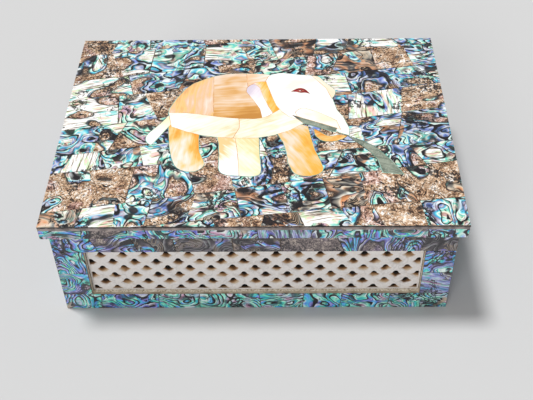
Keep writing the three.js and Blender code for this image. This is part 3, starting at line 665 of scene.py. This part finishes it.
class JEWELBOX_OT_shell(bpy.types.Operator):
    """Lay the abalone shell tiles on the lid and the sides"""
    bl_idname = "jewelbox.shell"
    bl_label = "Shell Tiles"

    def execute(self, context):
        settings = context.scene.jewelbox_shell
        bright = abalone("polished_abalone_lid", LID_SHELL)
        deep = abalone("polished_abalone_sides", SIDE_SHELL)
        narrow = abalone("polished_abalone_lid_edges", EDGE_SHELL)
        joint = joint_resin("brown_joint_resin", "#6E5C4A", "#2E241E")
        edge = joint_resin("shell_edge_resin", "#CFC2AC", "#A3947E")
        dark_edge = mosaic_edge("mosaic_edge_resin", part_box("lid_mosaic")[1].z)
        glue = joint_resin("honey_glue", "#E9C79A", "#C98F54")
        outline = joint_resin("green_grey_glue", "#98CCBC", "#558E80")
        for node, outward in FACINGS.items():
            look, shell, outer = SIDE_SHELL, deep, edge
            if node == "lid_mosaic":
                look, shell, outer = LID_SHELL, bright, dark_edge
            elif node.startswith("lid"):
                look, shell, outer = EDGE_SHELL, narrow, dark_edge
            mesh = tile_mesh(node, outward, settings, look)
            for material in (shell, joint, outer, glue, outline):
                mesh.materials.append(material)
            new_piece(f"{node}_tiles", mesh, "abalone_shell", node)
        return {"FINISHED"}


def lattice_tree(settings):
    """Geometry nodes that pierce a flat plate with rows of carved stars."""
    tree = bpy.data.node_groups.new("pierced_plate", "GeometryNodeTree")
    inputs = {
        "Length": ("NodeSocketFloat", 0.16), "Height": ("NodeSocketFloat", 0.03),
        "Thickness": ("NodeSocketFloat", 4 * MM), "Border": ("NodeSocketFloat", 0.8 * MM),
        "Foot": ("NodeSocketFloat", 0.8 * MM), "Rows": ("NodeSocketInt", 7), "Long Row": ("NodeSocketInt", 16),
        "First Row": ("NodeSocketFloat", 1.2 * MM), "Pitch": ("NodeSocketFloat", settings.pitch),
        "Row Pitch": ("NodeSocketFloat", settings.row_pitch), "Wing": ("NodeSocketFloat", settings.wing),
        "Waist": ("NodeSocketFloat", settings.waist), "Dome": ("NodeSocketFloat", settings.dome),
        "Toe": ("NodeSocketFloat", settings.toe),
        "Drill": ("NodeSocketFloat", settings.drill), "Rise": ("NodeSocketFloat", settings.rise),
        "Funnel": ("NodeSocketFloat", settings.funnel),
        "Fullness": ("NodeSocketFloat", settings.fullness),
        "Lower Fullness": ("NodeSocketFloat", settings.lower_fullness), "Seed": ("NodeSocketInt", 4),
        "Material": ("NodeSocketMaterial", None),
    }
    for name, (kind, value) in inputs.items():
        socket = tree.interface.new_socket(name, in_out="INPUT", socket_type=kind)
        if value is not None:
            socket.default_value = value
    tree.interface.new_socket("Geometry", in_out="OUTPUT", socket_type="NodeSocketGeometry")
    given = add(tree, "NodeGroupInput").outputs

    def vector(x=0.0, y=0.0, z=0.0):
        return add(tree, "ShaderNodeCombineXYZ", {0: x, 1: y, 2: z}).outputs[0]

    def moved(geometry, translation):
        return add(tree, "GeometryNodeTransform", {"Geometry": geometry, "Translation": translation}).outputs[0]

    # Cutter: a rod whose upper ring is a dome with wings and whose other rings are the drilled hole.
    # The upper ring stands above the face by a third of the funnel, and is widened to match.
    rod = add(tree, "GeometryNodeMeshCylinder", {"Vertices": 28, "Side Segments": 2, "Radius": 1.0, "Depth": 2.0})
    at = add(tree, "ShaderNodeSeparateXYZ", {0: add(tree, "GeometryNodeInputPosition").outputs[0]}).outputs

    def rounded(power, across, upright):
        x = calc(tree, "POWER", calc(tree, "DIVIDE", calc(tree, "ABSOLUTE", at[0]), across), power)
        y = calc(tree, "POWER", calc(tree, "DIVIDE", calc(tree, "ABSOLUTE", at[1]), upright), power)
        return calc(tree, "POWER", calc(tree, "ADD", x, y), calc(tree, "DIVIDE", -1.0, power))

    above = calc(tree, "GREATER_THAN", at[1], 0.0)
    reach = add(tree, "ShaderNodeMix", {0: above, 2: given["Toe"], 3: given["Dome"]}, data_type="FLOAT").outputs[0]
    fullness = add(tree, "ShaderNodeMix", {0: above, 2: given["Lower Fullness"], 3: given["Fullness"]},
                   data_type="FLOAT").outputs[0]
    mouth = calc(tree, "MAXIMUM", rounded(2.0, given["Waist"], reach), rounded(fullness, given["Wing"], reach))
    lip = calc(tree, "DIVIDE", given["Funnel"], 3.0)
    widened = calc(tree, "ADD", mouth, calc(tree, "DIVIDE", calc(tree, "SUBTRACT", mouth, given["Drill"]), 3.0))
    ring = calc(tree, "SUBTRACT", 1.0, at[2])
    first_step = calc(tree, "MINIMUM", ring, 1.0)
    second_step = calc(tree, "MAXIMUM", calc(tree, "SUBTRACT", ring, 1.0), 0.0)
    radius = add(tree, "ShaderNodeMix", {0: first_step, 2: widened, 3: given["Drill"]}, data_type="FLOAT").outputs[0]
    sunk = calc(tree, "SUBTRACT", lip, calc(tree, "MULTIPLY", first_step, calc(tree, "ADD", given["Funnel"], lip)))
    deep = calc(tree, "MULTIPLY", second_step, given["Thickness"])
    raised = calc(tree, "MULTIPLY", given["Rise"], calc(tree, "MULTIPLY_ADD", first_step, 4 / 3, -1 / 3))
    shaped = vector(calc(tree, "MULTIPLY", at[0], radius), calc(tree, "MULTIPLY_ADD", at[1], radius, raised),
                    calc(tree, "SUBTRACT", sunk, deep))
    cutter = add(tree, "GeometryNodeSetPosition", {"Geometry": rod.outputs["Mesh"], "Position": shaped}).outputs[0]

    # Rows: two grids of points, the second shifted by half a pitch and one row
    grids = []
    for shift in (0, 1):
        count = calc(tree, "SUBTRACT", given["Long Row"], float(shift))
        rows = calc(tree, "FLOOR", calc(tree, "DIVIDE", calc(tree, "ADD", given["Rows"], float(1 - shift)), 2.0))
        width = calc(tree, "MULTIPLY", calc(tree, "SUBTRACT", count, 1.0), given["Pitch"])
        height = calc(tree, "MULTIPLY", calc(tree, "MULTIPLY", calc(tree, "SUBTRACT", rows, 1.0), 2.0), given["Row Pitch"])
        grid = add(tree, "GeometryNodeMeshGrid", {"Size X": width, "Size Y": height, "Vertices X": count,
                                                  "Vertices Y": rows}).outputs["Mesh"]
        base = calc(tree, "ADD", given["First Row"], calc(tree, "MULTIPLY", given["Row Pitch"], float(shift)))
        grids.append(moved(grid, vector(0.0, calc(tree, "ADD", base, calc(tree, "DIVIDE", height, 2.0)), 0.0)))
    points = add(tree, "GeometryNodeJoinGeometry")
    for grid in grids:
        tree.links.new(grid, points.inputs[0])

    # Hand-cut holes: each a little turned, sized and off its mark
    def drawn(low, high, offset):
        seed = calc(tree, "ADD", given["Seed"], float(offset))
        return add(tree, "FunctionNodeRandomValue", {"Min": low, "Max": high, "Seed": seed}, data_type="FLOAT_VECTOR"
                   ).outputs[0]

    placed = add(tree, "GeometryNodeSetPosition", {
        "Geometry": points.outputs[0], "Offset": drawn((-0.15 * MM, -0.12 * MM, 0), (0.15 * MM, 0.12 * MM, 0), 0)})
    stars = add(tree, "GeometryNodeInstanceOnPoints", {
        "Points": placed.outputs[0], "Instance": cutter, "Rotation": drawn((0, 0, -0.07), (0, 0, 0.07), 1),
        "Scale": drawn((0.94, 0.92, 1.0), (1.05, 1.06, 1.0), 2)}).outputs[0]
    stars = add(tree, "GeometryNodeRealizeInstances", {0: stars}).outputs[0]

    # Plate, and the field inside its border that may be pierced
    half_height = calc(tree, "DIVIDE", given["Height"], 2.0)
    plate = add(tree, "GeometryNodeMeshCube", {
        "Size": vector(given["Length"], given["Height"], given["Thickness"])}).outputs["Mesh"]
    plate = moved(plate, vector(0.0, half_height, calc(tree, "DIVIDE", given["Thickness"], -2.0)))
    field_length = calc(tree, "SUBTRACT", given["Length"], calc(tree, "MULTIPLY", given["Border"], 2.0))
    field_height = calc(tree, "SUBTRACT", calc(tree, "SUBTRACT", given["Height"], given["Border"]), given["Foot"])
    field = add(tree, "GeometryNodeMeshCube", {
        "Size": vector(field_length, field_height, calc(tree, "MULTIPLY", given["Thickness"], 4.0))}).outputs["Mesh"]
    field = moved(field, vector(0.0, calc(tree, "ADD", given["Foot"], calc(tree, "DIVIDE", field_height, 2.0)), 0.0))
    clipped = add(tree, "GeometryNodeMeshBoolean", operation="INTERSECT", solver="MANIFOLD")
    tree.links.new(field, clipped.inputs["Mesh 2"])
    tree.links.new(stars, clipped.inputs["Mesh 2"])
    pierced = add(tree, "GeometryNodeMeshBoolean", {"Mesh 1": plate, "Mesh 2": clipped.outputs[0]},
                  operation="DIFFERENCE", solver="MANIFOLD")
    whole_mesh = add(tree, "GeometryNodeRealizeInstances", {0: pierced.outputs[0]})
    finished = add(tree, "GeometryNodeSetMaterial", {0: whole_mesh.outputs[0], "Material": given["Material"]})
    add(tree, "NodeGroupOutput", {0: finished.outputs[0]})
    return tree


def grown_mesh(tree, values):
    """The plain mesh that a geometry tree makes from these inputs."""
    holder = bpy.data.objects.new("holder", bpy.data.meshes.new("holder"))
    bpy.context.collection.objects.link(holder)
    modifier = holder.modifiers.new("shape", "NODES")
    modifier.node_group = tree
    for item in tree.interface.items_tree:
        if item.in_out == "INPUT" and item.name in values:
            modifier[item.identifier] = values[item.name]
    evaluated = holder.evaluated_get(bpy.context.evaluated_depsgraph_get())
    mesh = bpy.data.meshes.new_from_object(evaluated)
    holder.modifiers.clear()
    bpy.data.objects.remove(holder)
    return mesh


class JEWELBOX_OT_lattice(bpy.types.Operator):
    """Carve the pierced marble panels of the front and the back"""
    bl_idname = "jewelbox.lattice"
    bl_label = "Pierced Panels"

    def execute(self, context):
        settings = context.scene.jewelbox_lattice
        tree = lattice_tree(settings)
        rows = {"front_lattice": 7, "back_lattice": 5}
        for node, turn in (("front_lattice", 0.0), ("back_lattice", math.pi)):
            low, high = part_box(node)
            face = -low.y if turn == 0.0 else high.y
            height = high.z - low.z
            first = (height - settings.row_pitch * (rows[node] - 1)) / 2
            if node == "front_lattice":
                first = 1.2 * MM
            mesh = grown_mesh(tree, {
                "Length": high.x - low.x, "Height": height, "Thickness": high.y - low.y, "Rows": rows[node],
                "First Row": first, "Seed": 4 if turn == 0.0 else 9,
                "Material": pierced_marble(f"{node}_marble", face)})
            stand = Matrix.Rotation(turn, 4, "Z") @ Matrix.Translation((0, -face, low.z))
            mesh.transform(stand @ Matrix.Rotation(math.pi / 2, 4, "X"))
            new_piece(f"{node}_carving", mesh, "white_marble", node)
        return {"FINISHED"}


class JEWELBOX_OT_marble(bpy.types.Operator):
    """Finish the marble body and the lid slab"""
    bl_idname = "jewelbox.marble"
    bl_label = "Marble Body"

    def execute(self, context):
        inside_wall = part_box("front_lattice")[1].y
        marble = white_marble("polished_white_marble", -inside_wall / MM - 0.5)
        for node in ("marble_body", "lid_slab"):
            set_material(node, marble)
        return {"FINISHED"}


# The elephant's pieces of mother-of-pearl
PEARLS = {
    "rump": dict(
        name="strawberry_gold", turn=1.5, fall=(0.05, 0.12), size=12.0, growth=0.45,
        stops=["#F5E5D6", "#F0D2BA", "#EDC49C", "#F2C980", "#EAB076", "#E28F4A"]),
    "flank": dict(
        name="honey", turn=0.1, fall=(0.0, -0.42), size=11.0, growth=0.4,
        stops=["#F6ECE2", "#F2DAC6", "#EBC8A2", "#E4B276", "#D89E50", "#C6883A"]),
    "withers": dict(name="pale_peach", turn=0.3, fall=(-0.2, 0.0), stops=["#FFF8F0", "#FBE3D2", "#F7CFAA", "#F0B27C"]),
    "neck": dict(name="gold", turn=1.2, fall=(0.6, 0.15), stops=["#FBF0F0", "#FBE0C4", "#FCCB74", "#F9B23E", "#F0A232"]),
    "shoulder": dict(name="lavender", turn=1.1, fall=(-0.2, 0.35), stops=["#FFFFFF", "#FBF3F3", "#EEE3EB", "#DBCFDD"]),
    "hind_leg": dict(
        name="orange", turn=1.5, fall=(0.12, 0.32), size=8.0,
        stops=["#FFF8F0", "#FBE6D4", "#FBD394", "#F8B654", "#F09A2A"]),
    "second_hind_leg": dict(
        name="cream", turn=2.3, fall=(-0.15, 0.6), size=8.0,
        stops=["#FFFFFF", "#FFFDFD", "#FDF8F5", "#FFF2D6", "#FBCF92"]),
    "second_fore_leg": dict(
        name="ivory", turn=2.3, fall=(0.1, 0.36), size=8.0, stops=["#FDFBF2", "#FBF6E2", "#F8ECC0", "#F2D48C"]),
    "fore_leg": dict(
        name="amber", turn=2.1, fall=(0.34, 0.08), size=8.0,
        stops=["#FBE8D4", "#F9DAC0", "#FACA8E", "#FAB850", "#F4A236"]),
    "rear_belly_band": dict(
        name="white", turn=0.5, fall=(0.3, 0.0), growth=0.5, stops=["#FEFDFA", "#FDFBF0", "#FCF2DA", "#F2D6A4"]),
    "front_belly_band": dict(
        name="cream_white", turn=0.45, fall=(-0.2, 0.1), size=7.0, growth=0.55,
        stops=["#FEFDF8", "#FDF8E8", "#FBEAC8", "#F0CC96"]),
    "head": dict(name="snow_white", turn=0.5, stops=["#FFFFFF", "#FFFFFD", "#FFFCF4", "#FFF3E4"]),
    "forehead": dict(name="blush", turn=-0.9, stops=["#FFF9F5", "#FFF0E0", "#FBE2BC"]),
    "tusk": dict(name="butter", turn=-0.4, stops=["#FFFFFF", "#FFFEF6", "#FEF1D2"]),
    "tail": dict(name="straw", turn=0.9, fall=(0.1, 0.35), stops=["#F7FFFA", "#FFF9E0", "#F7E3A0"]),
    "trunk_curl": dict(name="dark_honey", turn=0.3, size=5.0, stops=["#F9DCA6", "#F4BF6C", "#E89C40", "#C97C2C"]),
}


class JEWELBOX_OT_inlay(bpy.types.Operator):
    """Finish the elephant's pieces of mother-of-pearl and stone"""
    bl_idname = "jewelbox.inlay"
    bl_label = "Elephant Inlay"

    def execute(self, context):
        for node, finish in PEARLS.items():
            set_material(node, pearl(node, **finish))
        root_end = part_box("branch_root")[0].x / MM
        for node in ("branch_root", "branch_tip"):
            set_material(node, green_stone(f"{node}_green_soapstone", root_end + 5.0))
        set_material("eye", red_stone("polished_red_carnelian"))
        set_material("eye_pupil", eye_ball("eye_pupil"))
        return {"FINISHED"}


# Camera as fitted to the photograph: place and lens in millimetres, and its right and up directions
CAMERA_PLACE = Vector((12.66, -365.40, 366.31))
CAMERA_RIGHT = Vector((0.99988, 0.00677, -0.01426))
CAMERA_UP = Vector((0.00541, 0.70135, 0.71280))
CAMERA_LENS = 60.54
SENSOR_WIDTH = 36.0


def soft_light(name, towards, spread, strength):
    """An even light from far off, soft by the angle over which it spreads."""
    data = bpy.data.lights.new(name, "SUN")
    data.angle = math.radians(spread)
    data.energy = strength
    light = bpy.data.objects.new(name, data)
    bpy.context.collection.objects.link(light)
    light.rotation_euler = Vector(towards).to_track_quat("-Z", "Y").to_euler()


class JEWELBOX_OT_stage(bpy.types.Operator):
    """Make the floor, the soft studio light and the camera"""
    bl_idname = "jewelbox.stage"
    bl_label = "Stage"

    def execute(self, context):
        settings = context.scene.jewelbox_stage
        half = 6.0
        mesh = bpy.data.meshes.new("floor")
        corners = [(-half, -half, 0), (half, -half, 0), (half, half, 0), (-half, half, 0)]
        mesh.from_pydata(corners, [], [(0, 1, 2, 3)])
        material, tree = new_material("matt_floor")
        finish_material(tree, Base_Color=[*settings.floor, 1.0], Roughness=0.9, Specular_IOR_Level=0.1)
        mesh.materials.append(material)
        floor = bpy.data.objects.new("floor", mesh)
        context.collection.objects.link(floor)

        world = bpy.data.worlds.new("studio")
        world.use_nodes = True
        world.node_tree.nodes.clear()
        sky = add(world.node_tree, "ShaderNodeBackground", {0: linear("#FFFFFF"), 1: settings.sky})
        add(world.node_tree, "ShaderNodeOutputWorld", {0: sky.outputs[0]})
        context.scene.world = world
        soft_light("key", (0.28, -0.11, -1.0), 11, settings.key)
        soft_light("fill", (0.45, 1.0, -0.6), 22, settings.fill)

        data = bpy.data.cameras.new("camera")
        data.sensor_width = SENSOR_WIDTH
        data.lens = CAMERA_LENS
        camera = bpy.data.objects.new("camera", data)
        context.collection.objects.link(camera)
        back = CAMERA_RIGHT.cross(CAMERA_UP)
        turned = Matrix((CAMERA_RIGHT, CAMERA_UP, back)).transposed().to_4x4()
        camera.matrix_world = Matrix.Translation(CAMERA_PLACE * MM) @ turned
        context.scene.camera = camera
        context.scene.view_settings.view_transform = "Standard"
        return {"FINISHED"}


class JEWELBOX_PT_panel(bpy.types.Panel):
    """Jewelry box tools"""
    bl_label = "Jewelry Box"
    bl_idname = "JEWELBOX_PT_panel"
    bl_space_type = "VIEW_3D"
    bl_region_type = "UI"
    bl_category = "Jewelry Box"

    def draw(self, context):
        for operator in OPERATORS:
            self.layout.operator(operator.bl_idname)
        for settings in SETTINGS:
            group = getattr(context.scene, settings)
            for name in SETTINGS[settings].__annotations__:
                self.layout.prop(group, name)


SETTINGS = {
    "jewelbox_shell": ShellSettings,
    "jewelbox_lattice": LatticeSettings,
    "jewelbox_stage": StageSettings,
}
OPERATORS = (JEWELBOX_OT_stage, JEWELBOX_OT_marble, JEWELBOX_OT_lattice, JEWELBOX_OT_shell, JEWELBOX_OT_inlay)


def register():
    for settings_class in (*SETTINGS.values(), *OPERATORS, JEWELBOX_PT_panel):
        bpy.utils.register_class(settings_class)
    for name, settings_class in SETTINGS.items():
        setattr(bpy.types.Scene, name, bpy.props.PointerProperty(type=settings_class))


def unregister():
    for name in SETTINGS:
        delattr(bpy.types.Scene, name)
    for settings_class in reversed((*SETTINGS.values(), *OPERATORS, JEWELBOX_PT_panel)):
        bpy.utils.unregister_class(settings_class)


def main():
    register()
    bpy.ops.jewelbox.stage()
    bpy.ops.jewelbox.marble()
    bpy.ops.jewelbox.lattice()
    bpy.ops.jewelbox.shell()
    bpy.ops.jewelbox.inlay()


if __name__ == "__main__":
    main()
